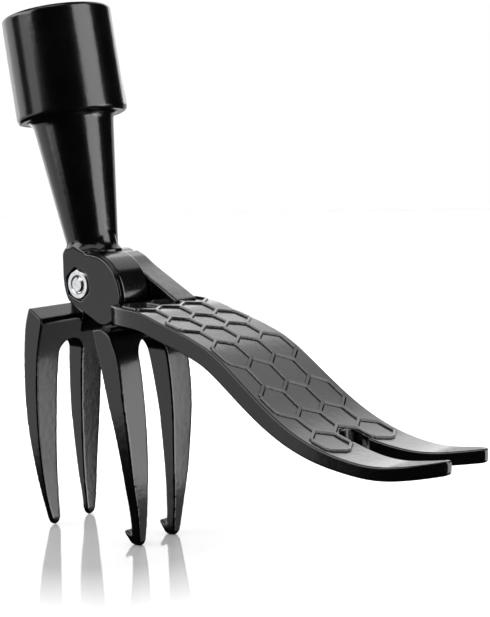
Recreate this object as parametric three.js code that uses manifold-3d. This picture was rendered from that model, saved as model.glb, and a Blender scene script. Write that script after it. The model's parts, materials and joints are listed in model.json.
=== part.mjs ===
// Stand-up weed puller head: two castings that cross on one bolt like a pair of scissors.
// The handle casting carries the pole socket and the front fork; the pedal casting carries the
// foot pedal, the ear behind the lug and the rear fork. Leaning the pole towards the pedal
// swings the front fork back against the rear fork.
// Units are millimetres. +Z is up, +X points to the pedal tip, -Y is the side of the nut.
// The origin lies on the ground, under the middle of the head; the four claw tips touch it.

import * as THREE from 'three';
import { mergeVertices } from 'three/addons/utils/BufferGeometryUtils.js';
import Module from 'manifold-3d';

const wasm = await Module();
wasm.setup();

// ---------------------------------------------------------------- driving dimensions
const PIVOT_X = -60.3;          // hinge axis from the origin
const PIVOT_Z = 91.2;           // hinge axis above the claw tips
const GAP = 0.3;                // clearance between pieces that meet
const ROUND = 48;               // sides of a full circle

// pole socket and neck, measured along the handle axis from the hinge
const LEAN = 10.33 * Math.PI / 180;
const AXIS_SHIFT = 0.4;
const SOCKET_TOP = 97.7;
const SOCKET_BASE = 59.8;
const SOCKET_R = 20;
const BORE_R = 16;
const BORE_FLOOR = 62;
const SOCKET_EDGE = 1.5;
const NECK_TOP_R = 14.4;
const NECK_FOOT_R = 9.2;
const NECK_FOOT = 13.4;

// hinge lug of the handle casting
const LUG_NEAR = -8.9;
const PAD_NEAR = -9.9;
const LUG_FAR = 3.6;
const WEB_NEAR = -5;            // face of the web that carries the front fork
const LUG_ARC = { x: 7, z: -3.8, r: 15.6 };
const PAD_STEP = 0.8;
const LUG_TOP = [[2.6, 12.3], [-1, 14.8], [-6.2, 14.4]];       // x, z inside the neck's foot
const PAD_TOP = [[0.8, 11.3], [-2.5, 13.2], [-6.2, 13.6]];

// ear of the pedal casting
const EAR_NEAR = 4.1;
const EAR_FAR = 14.2;
const EAR_R = 11.7;

// hinge hardware: M6 bolt, nut and washers
const BOLT_R = 3;
const HINGE_HOLE_R = 3.3;
const NUT_FLATS = 10;
const NUT_HEIGHT = 5;
const NUT_POCKET_FLATS = 10.6;
const WASHER_R = 6;
const WASHER_T = 1;
const THRUST_R = 8;
const THRUST_T = 0.9;
const THRUST_RECESS = 1;
const HEAD_R = 5.2;
const HEAD_T = 3.3;
const DOME_R = 7.8;             // round top of the bolt head and how far its centre lies under the seat
const DOME_DEPTH = 4.5;
const HEX_KEY_FLATS = 4;
const HEX_KEY_DEPTH = 2;

// pole screw in the socket wall
const POLE_SCREW_S = 82;
const POLE_SCREW_R = 2.4;
const POLE_SCREW_HEAD_R = 4.4;
const POLE_SCREW_HEAD_T = 2.6;
const POLE_SCREW_LENGTH = 4.6;      // backed off, its end level with the bore

// pedal plate
const PEDAL_TIP_X = 158.4;
const PEDAL_FRONT_X = 22.2;
const POCKET_R = 23.8;          // clears the lug as it turns
const PEDAL_T_ROOT = 6.4;       // wall at the hinge end
const PEDAL_T_TIP = 4.4;        // wall at the prongs
const TAPER_START = 84;         // x where the wall starts to thin, and where it has its tip value
const TAPER_END = 132;
const TIP_ROUND = 1.2;          // rounding of the tip, seen from the side
const ROOT_ROUND = 3;           // rounding of the lower edge at the hinge end
const PRONG_ROUND = 0.8;        // rounding of a prong's end, seen from above
const PEDAL_TOP = [             // x, z along the middle of the tread
  [18, -5.2], [28, -5.3], [40, -6.1], [50, -8.8], [64, -12.8], [76, -18.2],
  [98, -33.3], [112, -40.4], [126, -44.1], [140, -44.8], [158.4, -41.6],
];
const PEDAL_HALF_WIDTH = [      // x, half width in plan
  [PEDAL_FRONT_X, 14.9], [34, 18.6], [66, 19.3], [105, 20.1],
  [126, 19.2], [140, 17.9], [151, 15.2], [PEDAL_TIP_X, 11],
];
const SLOT_TIP_HALF = 8.6;
const SLOT_NECK_HALF = 3.4;
const KEYHOLE = { x: 115.6, r: 4.6 };

const TIP_Z = -PIVOT_Z;         // the claw tips stand on the ground
const REACH = 25;               // more than half the width of the head, for cutting shapes
const PAST = 5;                 // how far a cutting tool stands out of the face it cuts

// ---------------------------------------------------------------- helpers
function solidOf(geometry) {
  const bare = geometry.clone();
  bare.deleteAttribute('normal');
  bare.deleteAttribute('uv');
  const merged = mergeVertices(bare, 1e-5);
  return new wasm.Manifold(new wasm.Mesh({
    numProp: 3,
    vertProperties: new Float32Array(merged.attributes.position.array),
    triVerts: new Uint32Array(merged.index.array),
  }));
}

function geometryOf(solid) {
  const mesh = solid.getMesh();
  const geometry = new THREE.BufferGeometry();
  geometry.setAttribute('position', new THREE.BufferAttribute(new Float32Array(mesh.vertProperties), 3));
  geometry.setIndex(new THREE.BufferAttribute(new Uint32Array(mesh.triVerts), 1));
  geometry.computeVertexNormals();
  return geometry;
}

function extruded(shape, depth, curveSegments = 12) {
  return new THREE.ExtrudeGeometry(shape, { depth, bevelEnabled: false, curveSegments });
}

// a shape drawn in x, z and carried from y = near to y = far
function acrossY(shape, near, far, curveSegments) {
  const geometry = extruded(shape, far - near, curveSegments);
  geometry.rotateX(Math.PI / 2);
  geometry.translate(0, far, 0);
  return solidOf(geometry);
}

// a shape drawn in y, z and carried from x = start to x = end
function alongX(shape, start, end, curveSegments) {
  const geometry = extruded(shape, end - start, curveSegments);
  geometry.applyMatrix4(new THREE.Matrix4().makeBasis(
    new THREE.Vector3(0, 1, 0), new THREE.Vector3(0, 0, 1), new THREE.Vector3(1, 0, 0)));
  geometry.translate(start, 0, 0);
  return solidOf(geometry);
}

// a round bar along Y
function barY(radius, near, far, sides = ROUND) {
  const geometry = new THREE.CylinderGeometry(radius, radius, far - near, sides);
  geometry.translate(0, (near + far) / 2, 0);
  return solidOf(geometry);
}

// a hexagonal bar along Y with one corner on +Z
function hexBarY(flats, near, far) {
  return barY(flats / Math.sqrt(3), near, far, 6);
}

function curvePoints(points, count) {
  const curve = new THREE.SplineCurve(points.map(([x, z]) => new THREE.Vector2(x, z)));
  return curve.getPoints(count);
}

function shapeOf(points) {
  return new THREE.Shape(points);
}

function moulded(name, solid, colour, roughness, metalness) {
  const material = new THREE.MeshStandardMaterial({ color: colour, roughness, metalness });
  const mesh = new THREE.Mesh(geometryOf(solid), material);
  mesh.name = name;
  return mesh;
}

const paintedBlack = (name, solid) => moulded(name, solid, 0x0b0b0c, 0.22, 0.0);
const zincPlated = (name, solid) => moulded(name, solid, 0xc9cbcd, 0.28, 1.0);

// turns a solid drawn about +Z into one drawn about the leaning handle axis
function onHandleAxis(geometry) {
  geometry.rotateY(-LEAN);
  geometry.translate(AXIS_SHIFT, 0, 0);
  return solidOf(geometry);
}

// ---------------------------------------------------------------- forks
// side: profile in x, z; outer and inner: half widths of the fork and of its slot, with their heights
function fork(side, outer, inner, slotTop, xStart, xEnd) {
  const outerEdge = curvePoints(outer, 24);
  const innerEdge = curvePoints(inner, 20);
  const front = new THREE.Shape();
  const right = [...outerEdge, ...innerEdge.slice().reverse()];
  const arch = [];
  const archHalf = innerEdge[0].x;
  const archFoot = innerEdge[0].y;
  const archRise = slotTop - archFoot;
  const archSteps = 12;
  for (let step = 1; step < archSteps; step += 1) {
    const angle = (Math.PI * step) / archSteps;
    arch.push(new THREE.Vector2(archHalf * Math.cos(angle), archFoot + archRise * Math.sin(angle)));
  }
  const left = right.map((p) => new THREE.Vector2(-p.x, p.y)).reverse();
  front.setFromPoints([...right, ...arch, ...left]);
  return acrossY(side, -REACH, REACH).intersect(alongX(front, xStart, xEnd));
}

function rearForkSide() {
  const back = curvePoints([
    [-19.9, -9], [-22.6, -18], [-24.3, -38], [-24.1, -54], [-22.6, -70], [-20.6, -83.5], [-20.2, -88.6],
  ], 26);
  const nose = curvePoints([
    [-20.2, -88.6], [-19.6, -90.6], [-18.9, TIP_Z], [-18.1, -90.6], [-17.6, -88.6],
  ], 8);
  const face = curvePoints([
    [-17.6, -88.6], [-18.3, -78], [-18.5, -66], [-17.8, -46], [-16.2, -28], [-13, -14.2],
  ], 26);
  return shapeOf([...back, ...nose.slice(1), ...face.slice(1), new THREE.Vector2(-13.8, -12.6)]);
}

function rearFork() {
  const outer = [
    [16.3, -6], [16.3, -30], [15.4, -54], [12.9, -78], [10.9, -88.4], [10.1, -90.4], [8.6, TIP_Z],
  ];
  const inner = [
    [5.6, -27], [5.9, -42], [6.3, -66], [6.5, -80], [6.8, -88.4], [7.4, -90.4], [8.6, TIP_Z],
  ];
  return fork(rearForkSide(), outer, inner, -22, -30, -8);
}

function frontForkSide() {
  const face = curvePoints([
    [19.5, -13.7], [22.6, -15.3], [25.2, -18.8], [27.8, -26.5],
    [29.5, -42], [29.8, -56], [29.2, -76], [27.9, -89.6],
  ], 34);
  const back = curvePoints([
    [24.5, -83.6], [24.7, -74], [24.3, -62], [22.6, -47], [19.2, -30], [16.6, -20.5], [14.8, -14.4],
  ], 26);
  const barb = [
    [26.9, TIP_Z], [23.9, TIP_Z], [23.1, -90.6], [20.5, -86.8], [21, -86], [23.6, -87.6], [24.4, -86.6],
  ];
  return shapeOf([...face, ...barb.map(([x, z]) => new THREE.Vector2(x, z)), ...back]);
}

function frontFork() {
  const outer = [
    [17.3, -10], [17.3, -30], [16.9, -42], [14.1, -66], [11.9, -78], [10.5, -88], [9.9, -90.6], [9.2, TIP_Z],
  ];
  const inner = [
    [6.6, -24.5], [6.6, -42], [6.3, -60], [6.7, -78], [6.9, -88], [7.2, -90.6], [7.8, TIP_Z],
  ];
  return fork(frontForkSide(), outer, inner, -18, 10, 34);
}

// ---------------------------------------------------------------- handle casting
function socketAndNeck() {
  const profile = [
    [0, NECK_FOOT], [NECK_FOOT_R, NECK_FOOT],
    [NECK_TOP_R, SOCKET_BASE - 2], [NECK_TOP_R + 0.5, SOCKET_BASE - 0.6], [NECK_TOP_R + 1.8, SOCKET_BASE],
    [SOCKET_R - SOCKET_EDGE, SOCKET_BASE], [SOCKET_R - SOCKET_EDGE * 0.3, SOCKET_BASE + SOCKET_EDGE * 0.3],
    [SOCKET_R, SOCKET_BASE + SOCKET_EDGE], [SOCKET_R, SOCKET_TOP - SOCKET_EDGE],
    [SOCKET_R - SOCKET_EDGE * 0.3, SOCKET_TOP - SOCKET_EDGE * 0.3], [SOCKET_R - SOCKET_EDGE, SOCKET_TOP],
    [BORE_R + 0.6, SOCKET_TOP], [BORE_R, SOCKET_TOP - 0.6], [BORE_R, BORE_FLOOR], [0, BORE_FLOOR],
  ];
  const geometry = new THREE.LatheGeometry(profile.map(([r, s]) => new THREE.Vector2(r, s)), ROUND);
  geometry.rotateX(Math.PI / 2);
  return onHandleAxis(geometry);
}

// lug outline in x, z; inset shrinks the round front edge, top lists the points under the neck
function lugShape(inset, top) {
  const radius = LUG_ARC.r - inset;
  const shape = new THREE.Shape();
  shape.moveTo(-7.6, 11);
  shape.lineTo(-7.7, 3);
  shape.quadraticCurveTo(-7.4, -3.8, -5, -6.2);
  shape.lineTo(10.2, -13.4);
  shape.quadraticCurveTo(13.6, -14.6, 17.1, -12.2);
  shape.quadraticCurveTo(21.8 - inset, -9.4, LUG_ARC.x + radius, LUG_ARC.z);
  shape.absarc(LUG_ARC.x, LUG_ARC.z, radius, 0, Math.PI / 2, false);
  for (const [x, z] of top) {
    shape.lineTo(x, z);
  }
  shape.closePath();
  return shape;
}

// the web that carries the front fork, hidden under the lug
function forkWebShape() {
  const points = [[8, -10], [7, -13.4], [7.6, -16.8], [14.6, -18.4], [19.4, -18.4], [21.6, -14.6], [20, -11.2]];
  return shapeOf(points.map(([x, z]) => new THREE.Vector2(x, z)));
}

function handleCasting() {
  let body = socketAndNeck();
  body = body.add(acrossY(lugShape(0, LUG_TOP), LUG_NEAR, LUG_FAR));
  body = body.add(acrossY(lugShape(PAD_STEP, PAD_TOP), PAD_NEAR, LUG_NEAR + 0.1));
  body = body.add(acrossY(forkWebShape(), WEB_NEAR, LUG_FAR));
  body = body.add(frontFork());
  body = body.subtract(barY(HINGE_HOLE_R, PAD_NEAR - PAST, LUG_FAR + PAST));
  const nutPocket = hexBarY(NUT_POCKET_FLATS, PAD_NEAR - PAST, PAD_NEAR + NUT_HEIGHT + GAP);
  body = body.subtract(onAxisTurned(nutPocket));
  return body.subtract(poleScrewSolid(GAP));
}

// the nut pocket has a corner on the handle axis
function onAxisTurned(solid) {
  return solid.rotate([0, -LEAN * 180 / Math.PI, 0]);
}

// ---------------------------------------------------------------- pedal casting
function pedalSideShape() {
  const line = curvePoints(PEDAL_TOP, 60);
  const under = line.map((point, index) => {
    const before = line[Math.max(index - 1, 0)];
    const after = line[Math.min(index + 1, line.length - 1)];
    const along = new THREE.Vector2().subVectors(after, before).normalize();
    const taper = THREE.MathUtils.smoothstep(point.x, TAPER_START, TAPER_END);
    const wall = THREE.MathUtils.lerp(PEDAL_T_ROOT, PEDAL_T_TIP, taper);
    return new THREE.Vector2(point.x + along.y * wall, point.y - along.x * wall);
  });
  const tipTop = line[line.length - 1];
  const tipLow = under[under.length - 1];
  const top = line.filter((p) => p.x > PEDAL_FRONT_X && p.x < PEDAL_TIP_X - TIP_ROUND);
  const low = under.filter((p) => p.x > PEDAL_FRONT_X + ROOT_ROUND && p.x < tipLow.x - TIP_ROUND).reverse();
  const noseTop = tipTop.clone().lerp(tipLow, 0.4);
  const noseLow = tipTop.clone().lerp(tipLow, 0.62);
  const rootLow = low[low.length - 1].y;
  const shape = new THREE.Shape(top);
  shape.quadraticCurveTo(tipTop.x, tipTop.y, noseTop.x, noseTop.y);
  shape.lineTo(noseLow.x, noseLow.y);
  shape.quadraticCurveTo(tipLow.x, tipLow.y, low[0].x, low[0].y);
  for (const point of low.slice(1)) {
    shape.lineTo(point.x, point.y);
  }
  shape.quadraticCurveTo(PEDAL_FRONT_X, rootLow + 0.2, PEDAL_FRONT_X, rootLow + ROOT_ROUND * 0.8);
  shape.lineTo(PEDAL_FRONT_X, top[0].y);
  return shape;
}

function pedalPlanShape() {
  const edge = curvePoints(PEDAL_HALF_WIDTH, 40).filter((p) => p.x < PEDAL_TIP_X - PRONG_ROUND);
  const opening = Math.asin(SLOT_NECK_HALF / KEYHOLE.r);
  const shape = new THREE.Shape(edge);
  const prongMiddle = (PEDAL_HALF_WIDTH[PEDAL_HALF_WIDTH.length - 1][1] + SLOT_TIP_HALF) / 2;
  shape.quadraticCurveTo(PEDAL_TIP_X, prongMiddle + PRONG_ROUND, PEDAL_TIP_X, prongMiddle);
  shape.quadraticCurveTo(PEDAL_TIP_X, SLOT_TIP_HALF, PEDAL_TIP_X - PRONG_ROUND, SLOT_TIP_HALF);
  const holeSteps = 16;
  for (let step = 0; step <= holeSteps; step += 1) {
    const angle = opening + (step / holeSteps) * 2 * (Math.PI - opening);
    shape.lineTo(KEYHOLE.x + KEYHOLE.r * Math.cos(angle), KEYHOLE.r * Math.sin(angle));
  }
  shape.lineTo(PEDAL_TIP_X - PRONG_ROUND, -SLOT_TIP_HALF);
  shape.quadraticCurveTo(PEDAL_TIP_X, -SLOT_TIP_HALF, PEDAL_TIP_X, -prongMiddle);
  const lastEdge = edge[edge.length - 1];
  shape.quadraticCurveTo(PEDAL_TIP_X, -prongMiddle - PRONG_ROUND, lastEdge.x, -lastEdge.y);
  for (const point of edge.slice(0, -1).reverse()) {
    shape.lineTo(point.x, -point.y);
  }
  return shape;
}

function pedalPlate() {
  const band = acrossY(pedalSideShape(), -REACH, REACH);
  const planLow = -60;
  const planHigh = 5;
  const plan = solidOf(extruded(pedalPlanShape(), planHigh - planLow).translate(0, 0, planLow));
  const lugPocket = barY(POCKET_R, PAD_NEAR - GAP, EAR_NEAR + 0.2, 2 * ROUND);
  return band.intersect(plan).subtract(lugPocket);
}

function earShape() {
  const shape = new THREE.Shape();
  shape.moveTo(35.5, -4.8);
  shape.splineThru([[30.2, -1.9], [24.7, 1], [19, 4], [14.7, 6.4], [10.5, 9.1], [6.6, 10.7]]
    .map(([x, z]) => new THREE.Vector2(x, z)));
  shape.absarc(0, 0, EAR_R, 1.1, 3.3, false);
  shape.quadraticCurveTo(-14.5, -6, -19.9, -9.2);
  shape.lineTo(-22.6, -18);
  shape.lineTo(-15, -21);
  shape.quadraticCurveTo(-11, -13.4, -3, -13.2);
  shape.lineTo(20.5, -13.2);
  shape.quadraticCurveTo(26, -13, 34, -10);
  shape.closePath();
  return shape;
}

function pedalCasting() {
  let body = pedalPlate().add(acrossY(earShape(), EAR_NEAR, EAR_FAR));
  body = body.add(rearFork());
  body = body.subtract(barY(HINGE_HOLE_R, EAR_NEAR - 1, EAR_FAR + 1));
  return body.subtract(barY(THRUST_R + GAP, EAR_NEAR - 1, EAR_NEAR + THRUST_RECESS));
}

// ---------------------------------------------------------------- hardware
function ring(outerR, innerR, near, far) {
  return barY(outerR, near, far).subtract(barY(innerR, near - 1, far + 1));
}

function pivotBolt() {
  const headNear = EAR_FAR + WASHER_T + 2 * GAP;
  const ball = new THREE.SphereGeometry(DOME_R, ROUND, 32);
  const dome = solidOf(ball.translate(0, headNear - DOME_DEPTH, 0));
  const head = barY(HEAD_R, headNear, headNear + HEAD_T).intersect(dome);
  const shank = barY(BOLT_R, PAD_NEAR - 0.4, headNear + 0.5);
  const key = hexBarY(HEX_KEY_FLATS, headNear + HEAD_T - HEX_KEY_DEPTH, headNear + HEAD_T + 2);
  return head.add(shank).subtract(key);
}

function lockNut() {
  const body = hexBarY(NUT_FLATS, PAD_NEAR, PAD_NEAR + NUT_HEIGHT);
  return onAxisTurned(body.subtract(barY(BOLT_R + GAP, PAD_NEAR - 1, PAD_NEAR + NUT_HEIGHT + 1)));
}

function poleScrewSolid(clearance) {
  const headStart = SOCKET_R + GAP;
  const shank = new THREE.CylinderGeometry(POLE_SCREW_R + clearance, POLE_SCREW_R + clearance,
    POLE_SCREW_LENGTH, 24);
  shank.rotateZ(Math.PI / 2);
  shank.translate(-(headStart + 0.5 - POLE_SCREW_LENGTH / 2), 0, POLE_SCREW_S);
  return onHandleAxis(shank);
}

function poleScrew() {
  const headStart = SOCKET_R + GAP;
  const head = new THREE.CylinderGeometry(POLE_SCREW_HEAD_R, POLE_SCREW_HEAD_R * 0.7, POLE_SCREW_HEAD_T, 32);
  head.rotateZ(-Math.PI / 2);
  head.translate(-(headStart + POLE_SCREW_HEAD_T / 2), 0, POLE_SCREW_S);
  return poleScrewSolid(0).add(onHandleAxis(head));
}

// ---------------------------------------------------------------- assembly
const pedalSide = new THREE.Group();
pedalSide.add(paintedBlack('pedal_casting', pedalCasting()));

const handleSide = new THREE.Group();
handleSide.add(paintedBlack('handle_casting', handleCasting()));
handleSide.add(zincPlated('pivot_bolt', pivotBolt()));
handleSide.add(zincPlated('lock_nut', lockNut()));
const headWasher = ring(WASHER_R, BOLT_R + GAP, EAR_FAR + GAP, EAR_FAR + GAP + WASHER_T);
handleSide.add(zincPlated('head_washer', headWasher));
const thrustWasher = ring(THRUST_R, BOLT_R + GAP, LUG_FAR + GAP, LUG_FAR + GAP + THRUST_T);
handleSide.add(zincPlated('thrust_washer', thrustWasher));
handleSide.add(zincPlated('pole_screw', poleScrew()));

const head = new THREE.Group();
head.name = 'weed_puller_head';
for (const side of [pedalSide, handleSide]) {
  side.position.set(PIVOT_X, 0, PIVOT_Z);
  head.add(side);
}

export default head;
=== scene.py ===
import json
import math
import bmesh
import bpy
from mathutils import Matrix, Vector


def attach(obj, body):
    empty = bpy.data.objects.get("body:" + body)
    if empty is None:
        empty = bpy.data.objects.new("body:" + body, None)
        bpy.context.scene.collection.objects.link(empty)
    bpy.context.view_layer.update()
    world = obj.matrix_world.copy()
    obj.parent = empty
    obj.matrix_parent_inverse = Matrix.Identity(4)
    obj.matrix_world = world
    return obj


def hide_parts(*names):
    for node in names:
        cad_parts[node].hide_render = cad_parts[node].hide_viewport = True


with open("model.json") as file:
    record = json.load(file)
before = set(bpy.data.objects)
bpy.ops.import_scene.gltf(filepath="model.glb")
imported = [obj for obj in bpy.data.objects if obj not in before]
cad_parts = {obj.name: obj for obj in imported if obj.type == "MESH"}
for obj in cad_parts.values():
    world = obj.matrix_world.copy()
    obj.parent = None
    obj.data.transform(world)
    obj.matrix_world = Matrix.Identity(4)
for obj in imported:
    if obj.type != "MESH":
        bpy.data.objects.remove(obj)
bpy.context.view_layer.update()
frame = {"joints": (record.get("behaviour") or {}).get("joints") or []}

# Weed puller head: two gloss black castings on one bolt, with bright zinc hardware.
# Shapes are drawn in millimetres from the hinge axis, x towards the pedal tip, z up,
# -y the side of the nut, and moved to the frame in metres when a piece is finished.
HINGE = Vector(frame["joints"][0]["pos_m"])
MM = 0.001

# handle axis, socket and neck
LEAN = math.radians(10.33)
AXIS_SHIFT = 0.4
SOCKET_TOP = 97.7
SOCKET_BASE = 59.8
SOCKET_R = 20.0
BORE_R = 16.0
BORE_FLOOR = 62.0
NECK_TOP_R = 14.4
NECK_FOOT_R = 9.2
NECK_FOOT = 13.4

# hinge lug, its raised pad and the ear
LUG_NEAR = -8.9
PAD_NEAR = -9.9
LUG_FAR = 3.6
LUG_ARC = (7.0, -3.8, 15.6)
PAD_STEP = 0.8
PAD_SINK = 0.1
LUG_TOP = [(2.6, 12.3), (-1, 14.8), (-6.2, 14.4)]
PAD_TOP = [(0.8, 11.3), (-2.5, 12.9), (-6.0, 12.9)]
WEB_NEAR = -5.0
EAR_NEAR = 4.1
EAR_FAR = 14.2
EAR_R = 11.7

# hinge hardware
HOLE_R = 3.3
BOLT_R = 3.0
GAP = 0.3
NUT_FLATS = 10.0
NUT_HEIGHT = 5.0
NUT_POCKET_FLATS = 10.6
WASHER_R = 6.0
WASHER_T = 1.0
THRUST_R = 8.0
THRUST_T = 0.9
THRUST_RECESS = 1.0
HEAD_R = 5.2
HEAD_T = 3.3
KEY_FLATS = 4.0
KEY_DEPTH = 2.0
POLE_SCREW_S = 82.0
POLE_SCREW_R = 2.4
POLE_SCREW_HEAD_R = 4.4
POLE_SCREW_HEAD_T = 2.6
POLE_SCREW_LENGTH = 4.6
POLE_SCREW_PROUD = 0.5
POLE_SCREW_SEAT = SOCKET_R + GAP
POLE_SCREW_TIP = POLE_SCREW_SEAT + POLE_SCREW_PROUD - POLE_SCREW_LENGTH
POLE_KEY_R = 1.7

# pedal plate and its tread
POCKET_R = 23.8
POCKET_PAST = 0.2
SLAB_DEPTH = 6.0
ROOT_WALL = 6.4
TIP_WALL = 4.4
WALL_THINS = (84, 132)
PEDAL_TIP_X = 158.4
PEDAL_FRONT_X = 22.2
TIP_ROUND = 1.2
ROOT_ROUND = 3.0
PRONG_ROUND = 0.8
HEEL_SHARE = 0.8
PLATE_EDGE = 0.8
RIM_BAND = 0.12
BROAD_AREA = 500
PLATE_CUT = 1.5
PLATE_CUTS = 90
PEDAL_TOP = [(18, -5.2), (28, -5.3), (40, -6.1), (50, -8.8), (64, -12.8), (76, -18.2),
             (98, -33.3), (112, -40.4), (126, -44.1), (140, -44.8), (158.4, -41.6)]
PEDAL_HALF_WIDTH = [(PEDAL_FRONT_X, 14.9), (34, 18.6), (66, 19.3), (105, 20.1), (126, 19.2),
                    (140, 17.9), (151, 15.2), (PEDAL_TIP_X, 11)]
SLOT_TIP_HALF = 8.6
SLOT_NECK_HALF = 3.4
KEYHOLE = (115.6, 4.6)
CELL_R = 6.785
CELL_PITCH_X = 10.18
CELL_PITCH_Y = 11.4
TREAD_START = 34.25
LAST_COLUMN = 8
TREAD_CUT_START = 26
TREAD_CUT = 1.6
TREAD_CUTS = 61
RIDGE_FOOT = 0.7
RIDGE_SLOPE = 0.28
RIDGE_HEIGHT = 0.72
RIDGE_SINK = 0.6

# claw tips, cutters that reach past a face, and the skin of the castings
TIP_Z = -91.2
FORK_REACH = 25
CUT_PAST = 1.0
CUTTER_NEAR = PAD_NEAR - 5
CASTING_VOXEL = 0.36
SOFT_ROUNDS = 7
FACES_KEPT = 0.6


# ---------------------------------------------------------------- curves
def spline(points, count):
    """A smooth curve through the points, with count even steps."""
    last = len(points) - 1
    result = []
    for step in range(count + 1):
        place = last * step / count
        index = min(int(place), last - 1)
        t = place - index
        before = Vector(points[max(index - 1, 0)])
        start = Vector(points[index])
        end = Vector(points[index + 1])
        after = Vector(points[min(index + 2, last)])
        pull_in = (end - before) * 0.5
        pull_out = (after - start) * 0.5
        result.append((2 * start - 2 * end + pull_in + pull_out) * t ** 3
                      + (-3 * start + 3 * end - 2 * pull_in - pull_out) * t ** 2
                      + pull_in * t + start)
    return result


def bow(start, pull, end, count=16):
    """A quadratic bow from start to end, without its first point."""
    a, b, c = Vector(start), Vector(pull), Vector(end)
    steps = [step / count for step in range(1, count + 1)]
    return [a * (1 - t) ** 2 + b * 2 * t * (1 - t) + c * t * t for t in steps]


def arc(x, z, radius, start, stop, count=32):
    """Points round a centre from one angle to another."""
    angles = [start + (stop - start) * step / count for step in range(count + 1)]
    return [Vector((x + radius * math.cos(a), z + radius * math.sin(a))) for a in angles]


def smooth_step(value, low, high):
    """0 below low, 1 above high, and eased in between."""
    t = min(max((value - low) / (high - low), 0.0), 1.0)
    return t * t * (3 - 2 * t)


# ---------------------------------------------------------------- solids
def object_of(bm, name="solid"):
    """Puts a finished bmesh in the scene as an object."""
    mesh = bpy.data.meshes.new(name)
    bm.to_mesh(mesh)
    bm.free()
    obj = bpy.data.objects.new(name, mesh)
    bpy.context.scene.collection.objects.link(obj)
    return obj


def prism(points, near, far, axis="Y"):
    """An outline carried along one axis, and drawn in the other two, in alphabetical order."""
    places = {"Y": lambda p: (p[0], near, p[1]),
              "X": lambda p: (near, p[0], p[1]),
              "Z": lambda p: (p[0], p[1], near)}[axis]
    way = {"X": Vector((1, 0, 0)), "Y": Vector((0, 1, 0)), "Z": Vector((0, 0, 1))}[axis]
    bm = bmesh.new()
    face = bm.faces.new([bm.verts.new(places(p)) for p in points])
    grown = bmesh.ops.extrude_face_region(bm, geom=[face])["geom"]
    moved = [g for g in grown if isinstance(g, bmesh.types.BMVert)]
    bmesh.ops.translate(bm, verts=moved, vec=way * (far - near))
    bmesh.ops.recalc_face_normals(bm, faces=bm.faces)
    return object_of(bm)


def spun(profile, steps=128):
    """A closed turned solid: profile of radius and height, from the axis back to the axis."""
    bm = bmesh.new()
    verts = [bm.verts.new((r, 0, s)) for r, s in profile]
    edges = [bm.edges.new(pair) for pair in zip(verts, verts[1:])]
    bmesh.ops.spin(bm, geom=verts + edges, cent=(0, 0, 0), axis=(0, 0, 1),
                   angle=math.tau, steps=steps, use_merge=True)
    bmesh.ops.remove_doubles(bm, verts=bm.verts, dist=1e-4)
    bmesh.ops.recalc_face_normals(bm, faces=bm.faces)
    return object_of(bm)


def cut_across(bm, place, way):
    """Adds edges where a plane crosses the whole mesh."""
    bmesh.ops.bisect_plane(bm, geom=list(bm.verts) + list(bm.edges) + list(bm.faces), dist=1e-4,
                           plane_co=place, plane_no=way)


def moved(obj, matrix):
    """Carries the mesh itself, not the object."""
    obj.data.transform(matrix)
    return obj


def bar(radius, near, far, sides=96):
    """A round bar along Y."""
    bm = bmesh.new()
    place = Matrix.Translation((0, (near + far) / 2, 0)) @ Matrix.Rotation(math.pi / 2, 4, "X")
    bmesh.ops.create_cone(bm, cap_ends=True, segments=sides, radius1=radius, radius2=radius,
                          depth=far - near, matrix=place)
    return object_of(bm)


def hex_bar(flats, near, far):
    """A hexagonal bar along Y with one corner on the handle axis."""
    return moved(bar(flats / math.sqrt(3), near, far, 6), Matrix.Rotation(-LEAN, 4, "Y"))


def mixed(base, tool, operation):
    """One closed solid from two: UNION, DIFFERENCE or INTERSECT."""
    change = base.modifiers.new("mix", "BOOLEAN")
    change.operation = operation
    change.solver = "EXACT"
    change.object = tool
    settled(base)
    bpy.data.objects.remove(tool)
    return base


def settled(obj):
    """Takes the modifiers into the mesh."""
    depsgraph = bpy.context.evaluated_depsgraph_get()
    mesh = bpy.data.meshes.new_from_object(obj.evaluated_get(depsgraph))
    obj.modifiers.clear()
    old = obj.data
    obj.data = mesh
    bpy.data.meshes.remove(old)
    return obj


def cast(obj):
    """Even skin with softly rounded edges, as casting and thick paint leave them."""
    exact = bpy.data.objects.new("exact", obj.data.copy())
    bpy.context.scene.collection.objects.link(exact)
    skin = obj.modifiers.new("skin", "REMESH")
    skin.mode = "VOXEL"
    skin.voxel_size = CASTING_VOXEL
    even = obj.modifiers.new("even", "SMOOTH")
    even.factor = 0.5
    even.iterations = 6
    fit = obj.modifiers.new("fit", "SHRINKWRAP")
    fit.target = exact
    fit.wrap_method = "NEAREST_SURFACEPOINT"
    soft = obj.modifiers.new("soft", "SMOOTH")
    soft.factor = 0.5
    soft.iterations = SOFT_ROUNDS
    fewer = obj.modifiers.new("fewer", "DECIMATE")
    fewer.ratio = FACES_KEPT
    settled(obj)
    bpy.data.objects.remove(exact)
    return obj


def shaded(obj, angle=None):
    """Smooth shading, with edges kept sharp above an angle in degrees when one is given."""
    obj.data.shade_smooth()
    if angle:
        obj.data.set_sharp_from_angle(angle=math.radians(angle))
    return obj


def finished(obj, name, body, node, material):
    """Places a piece in the frame, in metres, gives it its body and finish, and hides the CAD part of
    the node it stands for.
    """
    obj.data.transform(Matrix.Translation(HINGE) @ Matrix.Scale(MM, 4))
    obj.name = name
    obj.data.name = name
    obj.data.materials.clear()
    obj.data.materials.append(material)
    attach(obj, body)
    if node:
        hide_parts(node)
    return obj


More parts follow.
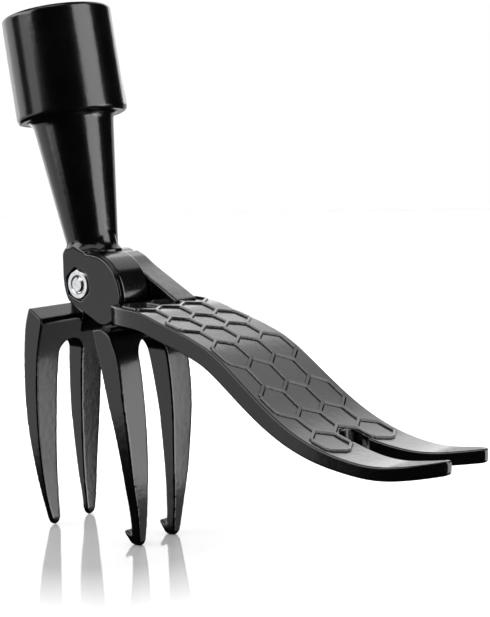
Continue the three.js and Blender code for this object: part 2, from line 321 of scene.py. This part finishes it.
ON_HANDLE = Matrix.Translation((AXIS_SHIFT, 0, 0)) @ Matrix.Rotation(-LEAN, 4, "Y")
OUT_OF_SOCKET = Matrix.Translation((0, 0, POLE_SCREW_S)) @ Matrix.Rotation(-math.pi / 2, 4, "Y")
ON_SOCKET = ON_HANDLE @ OUT_OF_SOCKET
ALONG_Y = Matrix.Rotation(-math.pi / 2, 4, "X")


# ---------------------------------------------------------------- finishes
def new_material(name):
    """A node material with its nodes, its links and its shader."""
    material = bpy.data.materials.new(name)
    material.use_nodes = True
    nodes = material.node_tree.nodes
    return material, nodes, material.node_tree.links, nodes["Principled BSDF"]


def noise(nodes, links, coordinates, scale, detail, roughness=0.5):
    """A cloudy pattern in the object's own space."""
    texture = nodes.new("ShaderNodeTexNoise")
    texture.inputs["Scale"].default_value = scale
    texture.inputs["Detail"].default_value = detail
    texture.inputs["Roughness"].default_value = roughness
    links.new(coordinates.outputs["Object"], texture.inputs["Vector"])
    return texture.outputs["Fac"]


def spread(nodes, links, source, low, high, from_low=0.3, from_high=0.7):
    """Maps a pattern to a span of values."""
    node = nodes.new("ShaderNodeMapRange")
    node.inputs["From Min"].default_value = from_low
    node.inputs["From Max"].default_value = from_high
    node.inputs["To Min"].default_value = low
    node.inputs["To Max"].default_value = high
    links.new(source, node.inputs["Value"])
    return node.outputs["Result"]


def bumped(nodes, links, height, distance, under=None):
    """Relief from a pattern, on top of another relief when one is given."""
    node = nodes.new("ShaderNodeBump")
    node.inputs["Strength"].default_value = 1.0
    node.inputs["Distance"].default_value = distance
    links.new(height, node.inputs["Height"])
    if under:
        links.new(under, node.inputs["Normal"])
    return node.outputs["Normal"]


def tinted(nodes, links, fac, dark, light):
    """A colour that runs from dark to light with a pattern."""
    ramp = nodes.new("ShaderNodeValToRGB")
    ramp.color_ramp.elements[0].position = 0.35
    ramp.color_ramp.elements[0].color = (*dark, 1)
    ramp.color_ramp.elements[1].position = 0.7
    ramp.color_ramp.elements[1].color = (*light, 1)
    links.new(fac, ramp.inputs["Fac"])
    return ramp.outputs["Color"]


def black_paint():
    """Thick gloss black over a cast skin: slow orange peel with a fine grain, and uneven shine."""
    material, nodes, links, shader = new_material("gloss_black_casting_paint")
    place = nodes.new("ShaderNodeTexCoord")
    peel = noise(nodes, links, place, 420, 2)
    grain = noise(nodes, links, place, 2600, 3, 0.6)
    cloud = noise(nodes, links, place, 90, 4)
    links.new(tinted(nodes, links, cloud, (0.0004, 0.0004, 0.00045), (0.0011, 0.0011, 0.0012)),
              shader.inputs["Base Color"])
    links.new(spread(nodes, links, grain, 0.1, 0.24), shader.inputs["Roughness"])
    waves = bumped(nodes, links, peel, 0.00004)
    links.new(bumped(nodes, links, grain, 0.000006, waves), shader.inputs["Normal"])
    shader.inputs["IOR"].default_value = 1.5
    return material


def zinc():
    """Bright zinc on machined steel."""
    material, nodes, links, shader = new_material("bright_zinc_steel")
    place = nodes.new("ShaderNodeTexCoord")
    grain = noise(nodes, links, place, 3200, 3, 0.6)
    cloud = noise(nodes, links, place, 400, 3)
    links.new(tinted(nodes, links, cloud, (0.62, 0.63, 0.64), (0.8, 0.81, 0.82)),
              shader.inputs["Base Color"])
    links.new(spread(nodes, links, cloud, 0.18, 0.34), shader.inputs["Roughness"])
    links.new(bumped(nodes, links, grain, 0.00001), shader.inputs["Normal"])
    shader.inputs["Metallic"].default_value = 1.0
    return material


def pale_floor_with_painted_shade():
    """Polished pale board with painted shade: its colour is darker close to the claws, so that their
    reflections show more strongly in it.
    """
    material, nodes, links, shader = new_material("pale_studio_floor_painted_shade")
    place = nodes.new("ShaderNodeTexCoord")
    reach = nodes.new("ShaderNodeVectorMath")
    reach.operation = "DISTANCE"
    reach.inputs[1].default_value = (HINGE.x, 0, 0)
    links.new(place.outputs["Object"], reach.inputs[0])
    painted_shade_fade = spread(nodes, links, reach.outputs["Value"], 0, 1, 0, 0.14)
    # painted shade: the floor colour runs from dark under the head to pale farther out
    links.new(tinted(nodes, links, painted_shade_fade, (0.36, 0.36, 0.36), (0.7, 0.7, 0.7)),
              shader.inputs["Base Color"])
    shader.inputs["Roughness"].default_value = 0.07
    return material


PAINT = black_paint()
ZINC = zinc()


# ---------------------------------------------------------------- forks
def fork(side, outer, inner, slot_top, start, end):
    """A pair of claws: the side view carried across, where the front view meets it."""
    outer_edge = spline(outer, 60)
    inner_edge = spline(inner, 60)
    foot = inner_edge[0]
    right = outer_edge + inner_edge[::-1]
    steps = 24
    arch = [Vector((foot.x * math.cos(math.pi * step / steps),
                    foot.y + (slot_top - foot.y) * math.sin(math.pi * step / steps)))
            for step in range(1, steps)]
    left = [Vector((-p.x, p.y)) for p in right[::-1]]
    front = prism(right + arch + left, start, end, "X")
    return mixed(prism(side, -FORK_REACH, FORK_REACH), front, "INTERSECT")


def rear_fork():
    """The two plain claws on the pedal side."""
    back = spline([(-19.9, -9), (-22.6, -18), (-24.3, -38), (-24.1, -54), (-22.6, -70),
                   (-20.6, -83.5), (-20.2, -88.6)], 70)
    nose = spline([(-20.2, -88.6), (-19.6, -90.6), (-18.9, TIP_Z), (-18.1, -90.6),
                   (-17.6, -88.6)], 16)
    face = spline([(-17.6, -88.6), (-18.3, -78), (-18.5, -66), (-17.8, -46), (-16.2, -28),
                   (-13, -14.2)], 70)
    side = back + nose[1:] + face[1:] + [Vector((-13.8, -12.6))]
    outer = [(16.3, -6), (16.3, -30), (15.4, -54), (12.9, -78), (10.9, -88.4), (10.1, -90.4),
             (8.6, TIP_Z)]
    inner = [(5.6, -27), (5.9, -42), (6.3, -66), (6.5, -80), (6.8, -88.4), (7.4, -90.4),
             (8.5, TIP_Z)]
    return fork(side, outer, inner, slot_top=-22, start=-30, end=-8)


def front_fork():
    """The two barbed claws on the handle side."""
    face = spline([(19.5, -13.7), (22.6, -15.3), (25.2, -18.8), (27.8, -26.5), (29.5, -42),
                   (29.8, -56), (29.2, -76), (27.9, -89.6)], 90)
    barb = [Vector(p) for p in [(26.9, TIP_Z), (23.9, TIP_Z), (23.1, -90.6), (20.5, -86.8),
                                (21, -86), (23.6, -87.6), (24.4, -86.6)]]
    back = spline([(24.5, -83.6), (24.7, -74), (24.3, -62), (22.6, -47), (19.2, -30),
                   (16.6, -20.5), (14.8, -14.4)], 70)
    outer = [(17.3, -10), (17.3, -30), (16.9, -42), (14.1, -66), (11.9, -78), (10.5, -88),
             (9.9, -90.6), (9.2, TIP_Z)]
    inner = [(6.6, -24.5), (6.6, -42), (6.3, -60), (6.7, -78), (6.9, -88), (7.2, -90.6),
             (7.8, TIP_Z)]
    return fork(face + barb + back, outer, inner, slot_top=-18, start=10, end=34)


# ---------------------------------------------------------------- handle casting
def lug_outline(inset, top):
    """Side view of the lug, or of its pad when its round end and foot are drawn in by an inset."""
    x, z, full = LUG_ARC
    radius = full - inset
    outline = [Vector((-7.6, 11)), Vector((-7.7, 3))]
    outline += bow((-7.7, 3), (-7.4, -3.8), (-5, -6.2))
    outline += [Vector((10.2, -13.4))]
    outline += bow((10.2, -13.4), (13.6, -14.6), (17.1, -12.2))
    outline += bow((17.1, -12.2), (21.8 - inset, -9.4), (x + radius, z))
    outline += arc(x, z, radius, 0, math.pi / 2)[1:]
    return outline + [Vector(p) for p in top]


def socket_and_neck():
    """Turned socket with rounded edges and an open bore, and the cone of the neck under it."""
    edge = 1.5
    foot = [(0, NECK_FOOT - 1), (NECK_FOOT_R, NECK_FOOT - 1), (NECK_FOOT_R, NECK_FOOT)]
    foot += [(NECK_TOP_R, SOCKET_BASE - 3)]
    shoulder = bow((NECK_TOP_R, SOCKET_BASE - 3), (NECK_TOP_R + 0.3, SOCKET_BASE),
                   (NECK_TOP_R + 2.6, SOCKET_BASE + 0.1), 10)
    low_edge = arc(SOCKET_R - edge, SOCKET_BASE + edge, edge, -math.pi / 2, 0, 8)
    top_edge = arc(SOCKET_R - edge, SOCKET_TOP - edge, edge, 0, math.pi / 2, 8)
    mouth = [(BORE_R + 0.8, SOCKET_TOP), (BORE_R, SOCKET_TOP - 0.8), (BORE_R, BORE_FLOOR),
             (0, BORE_FLOOR)]
    return moved(spun(foot + shoulder + low_edge + top_edge + mouth), ON_HANDLE)


def neck_flare():
    """The neck's foot spreads along the top of the lug, and no farther back than the lug."""
    flare = bow((12.2, 10.6), (10.0, 12.2), (9.75, 17), 20)
    cone = spun([(0, 8), (12.2, 8), (12.2, 10.6)] + flare + [(0, 17)])
    cone = moved(cone, ON_HANDLE @ Matrix.Diagonal((1, 0.8, 1, 1)))
    room = [(-7.6, 8), (-7.6, 11.5), (-8.5, 13), (-9, 22), (9, 23), (16, 14), (18.5, 7), (7, 6)]
    return mixed(cone, prism(room, PAD_NEAR, LUG_FAR), "INTERSECT")


def neck_cheek():
    """Fills the neck's foot out to the face of the pad, on the side of the nut."""
    flare = bow((11.8, 11.2), (9.8, 12.0), (9.35, 16.0), 16)
    cone = spun([(0, 9), (11.8, 9), (11.8, 11.2)] + flare + [(0, 16.0)])
    cone = moved(cone, ON_HANDLE @ Matrix.Diagonal((0.88, 1, 1, 1)))
    room = [(-8, 9), (-8.3, 14), (-12, 27), (5, 30), (9, 14), (6, 9)]
    return mixed(cone, prism(room, PAD_NEAR, 0), "INTERSECT")


def pole_screw_hole():
    """Cutter for the hole of the pole screw, with room all round it."""
    radius = POLE_SCREW_R + GAP
    end = POLE_SCREW_SEAT + POLE_SCREW_PROUD
    turned = spun([(0, POLE_SCREW_TIP), (radius, POLE_SCREW_TIP), (radius, end), (0, end)], 48)
    return moved(turned, ON_SOCKET)


def handle_casting():
    """Socket, neck, lug, pad and barbed claws in one skin, with the holes for bolt, nut and screw."""
    body = socket_and_neck()
    web = [(8, -10), (7, -13.4), (7.6, -16.8), (14.6, -18.4), (19.4, -18.4), (21.6, -14.6),
           (20, -11.2)]
    for part in (prism(lug_outline(0, LUG_TOP), LUG_NEAR, LUG_FAR),
                 prism(lug_outline(PAD_STEP, PAD_TOP), PAD_NEAR, LUG_NEAR + PAD_SINK),
                 prism(web, WEB_NEAR, LUG_FAR),
                 neck_flare(),
                 neck_cheek(),
                 front_fork()):
        body = mixed(body, part, "UNION")
    for hole in (bar(HOLE_R, CUTTER_NEAR, LUG_FAR + CUT_PAST),
                 hex_bar(NUT_POCKET_FLATS, CUTTER_NEAR, PAD_NEAR + NUT_HEIGHT + GAP),
                 pole_screw_hole()):
        body = mixed(body, hole, "DIFFERENCE")
    return cast(body)


# ---------------------------------------------------------------- pedal casting
TREAD_LINE = spline(PEDAL_TOP, 200)


def height_on(line, x):
    """Height of a line that runs along the pedal, at x."""
    for a, b in zip(line, line[1:]):
        if a.x <= x <= b.x:
            return a.y + (b.y - a.y) * (x - a.x) / (b.x - a.x)
    return line[0].y if x < line[0].x else line[-1].y


def underside_line():
    """The plate's underside, one wall thickness below the tread, square to it."""
    line = []
    for index, point in enumerate(TREAD_LINE):
        before = TREAD_LINE[max(index - 1, 0)]
        after = TREAD_LINE[min(index + 1, len(TREAD_LINE) - 1)]
        along = (after - before).normalized()
        wall = ROOT_WALL + (TIP_WALL - ROOT_WALL) * smooth_step(point.x, *WALL_THINS)
        line.append(point + Vector((along.y, -along.x)) * wall)
    return line


def plate_plan():
    """Plan of the plate: bowed sides, two rounded prongs and the slot with its round end."""
    side = [p for p in spline(PEDAL_HALF_WIDTH, 90) if p.x < PEDAL_TIP_X - PRONG_ROUND]
    middle = (PEDAL_HALF_WIDTH[-1][1] + SLOT_TIP_HALF) / 2
    side += bow(side[-1], (PEDAL_TIP_X, middle + PRONG_ROUND), (PEDAL_TIP_X, middle), 6)
    side += bow(side[-1], (PEDAL_TIP_X, SLOT_TIP_HALF), (PEDAL_TIP_X - PRONG_ROUND, SLOT_TIP_HALF), 6)
    x, radius = KEYHOLE
    opening = math.asin(SLOT_NECK_HALF / radius)
    hole = arc(x, 0, radius, opening, math.tau - opening, 28)
    return side + hole + [Vector((p.x, -p.y)) for p in side[::-1]]


def plate_edges(bm):
    """Rounds the flat plate's rims and corners, with narrow bands that keep its faces flat."""
    depth = min(vert.co.z for vert in bm.verts)
    rims = [edge for edge in bm.edges
            if edge.verts[0].co.z == edge.verts[1].co.z or edge.calc_face_angle(0) > 0.6]
    bmesh.ops.bevel(bm, geom=rims, offset=PLATE_EDGE, offset_type="OFFSET", segments=4, profile=0.5,
                    affect="EDGES", clamp_overlap=True, material=-1)
    broad = [face for face in bm.faces if abs(face.normal.z) > 0.99 and face.calc_area() > BROAD_AREA]
    for face in broad:
        bmesh.ops.inset_region(bm, faces=[face], thickness=RIM_BAND, depth=0, use_even_offset=True)
    for height in (-PLATE_EDGE - RIM_BAND, depth + PLATE_EDGE + RIM_BAND):
        cut_across(bm, (0, 0, height), (0, 0, 1))


def round_off(radius, past):
    """How far a rounded end has dropped, past the place where its rounding starts."""
    return radius - math.sqrt(max(radius ** 2 - past ** 2, 0))


def pedal_plate():
    """A flat plate with rounded rims, cut across at even steps and bent along the tread line."""
    plate = prism(plate_plan(), -SLAB_DEPTH, 0, "Z")
    bm = bmesh.new()
    bm.from_mesh(plate.data)
    plate_edges(bm)
    for step in range(1, PLATE_CUTS + 1):
        cut_across(bm, (PEDAL_FRONT_X + PLATE_CUT * step, 0, 0), (1, 0, 0))
    underside = underside_line()
    for vert in bm.verts:
        x = vert.co.x
        tip_drop = round_off(TIP_ROUND, max(x - PEDAL_TIP_X + TIP_ROUND, 0))
        heel_rise = round_off(ROOT_ROUND, max(PEDAL_FRONT_X + ROOT_ROUND - x, 0))
        if vert.co.z > -SLAB_DEPTH / 2:
            vert.co.z += height_on(TREAD_LINE, x) - tip_drop
        else:
            vert.co.z += SLAB_DEPTH + height_on(underside, x) + tip_drop + heel_rise * HEEL_SHARE
    bm.to_mesh(plate.data)
    bm.free()
    pocket = bar(POCKET_R, PAD_NEAR - GAP, EAR_NEAR + POCKET_PAST, 256)
    return shaded(mixed(plate, pocket, "DIFFERENCE"), 32)


def ear_outline():
    """Side view of the ear, from the pedal's root round the bolt and down to the rear claws."""
    outline = spline([(35.5, -4.8), (30.2, -1.9), (24.7, 1), (19, 4), (14.7, 6.4), (10.5, 9.1),
                      (6.6, 10.7)], 50)
    outline += arc(0, 0, EAR_R, 1.1, 3.3)
    outline += bow(outline[-1], (-14.5, -6), (-19.9, -9.2))
    outline += [Vector((-22.6, -18)), Vector((-15, -21))]
    outline += bow((-15, -21), (-11, -13.4), (-3, -13.2))
    outline += [Vector((20.5, -13.2))]
    outline += bow((20.5, -13.2), (26, -13), (34, -10))
    return outline


def pedal_casting():
    """Ear and rear claws in one cast skin, with the plate as a second closed shell run into it."""
    body = mixed(prism(ear_outline(), EAR_NEAR, EAR_FAR), rear_fork(), "UNION")
    recess = bar(THRUST_R + GAP, EAR_NEAR - CUT_PAST, EAR_NEAR + THRUST_RECESS)
    body = mixed(body, bar(HOLE_R, EAR_NEAR - CUT_PAST, EAR_FAR + CUT_PAST), "DIFFERENCE")
    body = shaded(cast(mixed(body, recess, "DIFFERENCE")))
    plate = pedal_plate()
    bm = bmesh.new()
    bm.from_mesh(body.data)
    bm.from_mesh(plate.data)
    bm.to_mesh(body.data)
    bm.free()
    bpy.data.objects.remove(plate)
    return body


def middle_of(edge):
    """The point halfway along an edge."""
    return (edge.verts[0].co + edge.verts[1].co) / 2


def beside(face, middles):
    """True for a strip with four corners that has one of the middles on one of its sides."""
    return len(face.verts) == 4 and any((middle_of(edge) - middle).length < 0.01
                                        for edge in face.edges for middle in middles)


def whole_cell(face):
    """True for a cell that the plate has room for, and that the slot's round end leaves whole."""
    place = face.calc_center_median()
    column = round((place.x - TREAD_START) / CELL_PITCH_X)
    row = place.y / CELL_PITCH_Y
    widest = 0.6 if column % 2 else 1.1
    on_slot = column == LAST_COLUMN and abs(row) < 0.1
    return 0 <= column <= LAST_COLUMN and abs(row) < widest and not on_slot


def tread():
    """Honeycomb of low ridges with sloping sides, laid on the top of the plate."""
    bm = bmesh.new()
    stretch = Matrix.Diagonal((1, CELL_PITCH_Y / (CELL_R * math.sqrt(3)), 1, 1))
    quarter_turn = Matrix.Rotation(math.pi / 2, 4, "Z")
    for column in range(-1, LAST_COLUMN + 2):
        for row in (-1.5, -0.5, 0.5, 1.5) if column % 2 else (-2, -1, 0, 1, 2):
            place = (TREAD_START + CELL_PITCH_X * column, row * CELL_PITCH_Y, 0)
            bmesh.ops.create_circle(bm, cap_ends=True, segments=6, radius=CELL_R,
                                    matrix=Matrix.Translation(place) @ stretch @ quarter_turn)
    bmesh.ops.remove_doubles(bm, verts=bm.verts, dist=0.05)
    middles = [middle_of(edge) for edge in bm.edges if any(whole_cell(f) for f in edge.link_faces)]
    bmesh.ops.inset_individual(bm, faces=bm.faces, thickness=RIDGE_FOOT, use_even_offset=True)
    spare = [face for face in bm.faces if not beside(face, middles)]
    bmesh.ops.delete(bm, geom=spare, context="FACES")
    low = bmesh.ops.extrude_face_region(bm, geom=list(bm.faces), use_keep_orig=True)["geom"]
    low_verts = [g for g in low if isinstance(g, bmesh.types.BMVert)]
    bmesh.ops.translate(bm, verts=low_verts, vec=(0, 0, -RIDGE_SINK))
    bmesh.ops.recalc_face_normals(bm, faces=bm.faces)
    tops = [face for face in bm.faces if face.normal.z > 0.9]
    bmesh.ops.inset_region(bm, faces=tops, thickness=RIDGE_SLOPE, depth=RIDGE_HEIGHT,
                           use_even_offset=True)
    for step in range(1, TREAD_CUTS + 1):
        cut_across(bm, (TREAD_CUT_START + TREAD_CUT * step, 0, 0), (1, 0, 0))
    for vert in bm.verts:
        vert.co.z += height_on(TREAD_LINE, vert.co.x)
    return object_of(bm)


# ---------------------------------------------------------------- hardware
def ring(outer, inner, near, far):
    """A flat washer along Y with eased edges."""
    soft = 0.15
    profile = [(inner, near + soft), (inner + soft, near), (outer - soft, near), (outer, near + soft),
               (outer, far - soft), (outer - soft, far), (inner + soft, far), (inner, far - soft)]
    bm = bmesh.new()
    verts = [bm.verts.new((r, y, 0)) for r, y in profile]
    edges = [bm.edges.new((a, b)) for a, b in zip(verts, verts[1:] + verts[:1])]
    bmesh.ops.spin(bm, geom=verts + edges, cent=(0, 0, 0), axis=(0, 1, 0),
                   angle=math.tau, steps=96, use_merge=True)
    bmesh.ops.remove_doubles(bm, verts=bm.verts, dist=1e-4)
    bmesh.ops.recalc_face_normals(bm, faces=bm.faces)
    return object_of(bm)


def lock_nut():
    """Hexagonal nut with turned corners at both ends and a chamfered, threaded hole."""
    near = PAD_NEAR
    far = PAD_NEAR + NUT_HEIGHT
    corner = NUT_FLATS / math.sqrt(3)
    flat = NUT_FLATS / 2 - 0.15
    ease = 0.8
    barrel = moved(spun([(0, near), (flat, near), (corner, near + ease), (corner, far - ease),
                         (flat, far), (0, far)]), ALONG_Y)
    body = mixed(hex_bar(NUT_FLATS, near - CUT_PAST, far + CUT_PAST), barrel, "INTERSECT")
    crest = BOLT_R + 0.3
    root = BOLT_R + 0.55
    lead_in = 0.4
    pitch = 0.5
    hole = [(0, near - CUT_PAST), (BOLT_R + 1.5, near - CUT_PAST), (BOLT_R + 0.5, near),
            (crest, near + lead_in)]
    turn = near + lead_in
    while turn + pitch < far - lead_in:
        hole += [(root, turn + pitch / 2), (crest, turn + pitch)]
        turn += pitch
    hole += [(crest, far - 0.3), (BOLT_R + 1.6, far + CUT_PAST), (0, far + CUT_PAST)]
    return mixed(body, moved(spun(hole, 96), ALONG_Y), "DIFFERENCE")


def pivot_bolt():
    """Button head with a key socket, plain shank, and a rolled thread where the nut sits."""
    start = PAD_NEAR - 0.4
    head = EAR_FAR + WASHER_T + 2 * GAP
    crown = head + HEAD_T
    chamfer = 0.45
    pitch = 0.6
    thread_end = LUG_NEAR + 6
    profile = [(0, start), (BOLT_R - 0.7, start), (BOLT_R - 0.25, start + chamfer)]
    turn = start + chamfer
    while turn + pitch < thread_end:
        profile += [(BOLT_R, turn + pitch / 2), (BOLT_R - 0.28, turn + pitch)]
        turn += pitch
    profile += [(BOLT_R, turn + 0.4), (BOLT_R, head), (HEAD_R, head), (HEAD_R, head + 0.5)]
    profile += bow((HEAD_R, head + 0.5), (HEAD_R - 0.3, crown - 0.4), (HEAD_R * 0.55, crown), 14)
    profile += [(0, crown)]
    body = moved(spun(profile), ALONG_Y)
    return mixed(body, hex_bar(KEY_FLATS, crown - KEY_DEPTH, crown + 2), "DIFFERENCE")


def pole_screw():
    """Set screw with a coned head and a key socket, in the wall of the pole socket."""
    tip = POLE_SCREW_TIP
    seat = POLE_SCREW_SEAT
    crown = seat + POLE_SCREW_HEAD_T
    profile = [(0, tip), (POLE_SCREW_R - 0.5, tip), (POLE_SCREW_R, tip + 0.5), (POLE_SCREW_R, seat),
               (POLE_SCREW_HEAD_R - 0.3, seat), (POLE_SCREW_HEAD_R, seat + 0.3),
               (POLE_SCREW_HEAD_R * 0.76, crown - 0.3), (POLE_SCREW_HEAD_R * 0.7, crown), (0, crown)]
    body = spun(profile, 96)
    key_place = Matrix.Translation((0, 0, seat + 1)) @ Matrix.Rotation(math.pi / 2, 4, "X")
    key = moved(bar(POLE_KEY_R, 0, 4, 6), key_place)
    return moved(mixed(body, key, "DIFFERENCE"), ON_SOCKET)


# ---------------------------------------------------------------- pieces
finished(shaded(handle_casting()), "painted_handle_casting", "handle_side", "handle_casting",
         PAINT)
finished(pedal_casting(), "painted_pedal_casting", "pedal_side", "pedal_casting",
         PAINT)
shaded(finished(tread(), "honeycomb_tread", "pedal_side", None, PAINT), 30)
for make, name, node in ((lock_nut, "zinc_lock_nut", "lock_nut"),
                         (pivot_bolt, "zinc_pivot_bolt", "pivot_bolt"),
                         (pole_screw, "zinc_pole_screw", "pole_screw")):
    shaded(finished(make(), name, "handle_side", node, ZINC), 30)
head_washer = ring(WASHER_R, BOLT_R + GAP, EAR_FAR + GAP, EAR_FAR + GAP + WASHER_T)
thrust_washer = ring(THRUST_R, BOLT_R + GAP, LUG_FAR + GAP, LUG_FAR + GAP + THRUST_T)
for washer, name, node in ((head_washer, "zinc_head_washer", "head_washer"),
                           (thrust_washer, "zinc_thrust_washer", "thrust_washer")):
    shaded(finished(washer, name, "handle_side", node, ZINC), 30)

# ---------------------------------------------------------------- studio
MIDDLE = Vector((0, 0, 0.1))
FLOOR_R = 1.7
MIRRORED_AIR = 0.01

floor_bm = bmesh.new()
bmesh.ops.create_circle(floor_bm, cap_ends=True, segments=96, radius=FLOOR_R)
floor = object_of(floor_bm, "studio_floor")
# the floor casts no shadow and stays out of the paint's reflections
floor.visible_glossy = False
floor.visible_shadow = False
floor.data.materials.append(pale_floor_with_painted_shade())

# white air that lights the piece, and that hardly shows in its reflections
world = bpy.data.worlds.new("studio")
world.use_nodes = True
bpy.context.scene.world = world
air = world.node_tree
around = air.nodes["Background"]
around.inputs["Color"].default_value = (1, 1, 1, 1)
around.inputs["Strength"].default_value = 1.0
mirrored = air.nodes.new("ShaderNodeBackground")
mirrored.inputs["Color"].default_value = (1, 1, 1, 1)
mirrored.inputs["Strength"].default_value = MIRRORED_AIR
path = air.nodes.new("ShaderNodeLightPath")
blend = air.nodes.new("ShaderNodeMixShader")
air.links.new(path.outputs["Is Glossy Ray"], blend.inputs[0])
air.links.new(around.outputs[0], blend.inputs[1])
air.links.new(mirrored.outputs[0], blend.inputs[2])
air.links.new(blend.outputs[0], air.nodes["World Output"].inputs["Surface"])


def softbox(name, place, facing, width, height, radiance):
    """A rectangular soft light, square to the line from its place to the point it faces."""
    light = bpy.data.lights.new(name, "AREA")
    light.shape = "RECTANGLE"
    light.size = width
    light.size_y = height
    light.energy = radiance * math.pi * width * height
    obj = bpy.data.objects.new(name, light)
    bpy.context.scene.collection.objects.link(obj)
    obj.location = place
    obj.rotation_euler = (Vector(place) - Vector(facing)).to_track_quat("Z", "Y").to_euler()
    obj.visible_camera = False


def around_head(azimuth, elevation, distance):
    """A place seen from the middle of the head."""
    a, e = math.radians(azimuth), math.radians(elevation)
    way = Vector((math.cos(a) * math.cos(e), math.sin(a) * math.cos(e), math.sin(e)))
    return way * distance + MIDDLE


softbox("left_strip", (-0.56, -1.06, 0.24), (0, 0, 0.24), 0.5, 0.6, 1.9)
softbox("low_left_box", around_head(-150, -12, 0.9), MIDDLE, 1.0, 0.35, 0.95)
softbox("left_wall", around_head(-165, 16.5, 1.6), MIDDLE, 1.0, 1.17, 1.7)
softbox("high_left_box", around_head(-125, 27, 1.3), MIDDLE, 1.2, 0.6, 4.5)
softbox("back_left_wall", around_head(165, 8, 1.6), MIDDLE, 1.0, 1.8, 1.7)
softbox("back_low_wall", around_head(128, -6, 1.8), MIDDLE, 2.0, 0.7, 0.7)
softbox("back_wall", around_head(128, 14, 1.8), MIDDLE, 2.0, 0.6, 2.4)
softbox("back_high_wall", around_head(126, 31, 1.8), MIDDLE, 2.0, 0.55, 2.1)
softbox("back_top_box", around_head(105, 48, 1.6), MIDDLE, 1.4, 0.6, 1.5)
softbox("front_top_box", around_head(-85, 66, 1.4), MIDDLE, 1.4, 0.9, 1.5)
softbox("right_box", around_head(14, 8, 1.2), MIDDLE, 0.9, 1.8, 4.6)
softbox("low_right_box", (0.194, 0.161, 0.026), (0.027, -0.025, 0.061), 0.126, 0.18, 3.7)
softbox("low_fill", (0.093, 0.187, -0.093), (-0.075, 0, 0.07), 0.2, 0.12, 0.5)

# camera: off the pedal end, low, on the side of the nut
YAW = math.radians(41.82)
PITCH = math.radians(7.64)
ROLL = math.radians(-1.31)
ahead = Vector((-math.sin(YAW) * math.cos(PITCH), math.cos(YAW) * math.cos(PITCH), -math.sin(PITCH)))
level = Vector((math.cos(YAW), math.sin(YAW), 0))
upward = level.cross(ahead)
right = level * math.cos(ROLL) + upward * math.sin(ROLL)
up = upward * math.cos(ROLL) - level * math.sin(ROLL)
lens = bpy.data.cameras.new("studio_camera")
lens.lens = 87.52
lens.sensor_width = 36
lens.clip_start = 0.01
camera = bpy.data.objects.new("studio_camera", lens)
bpy.context.scene.collection.objects.link(camera)
turn = Matrix((right, up, -ahead)).transposed().to_4x4()
camera.matrix_world = Matrix.Translation((0.338, -0.36586, 0.15248)) @ turn
bpy.context.scene.camera = camera
bpy.context.scene.view_settings.view_transform = "Standard"
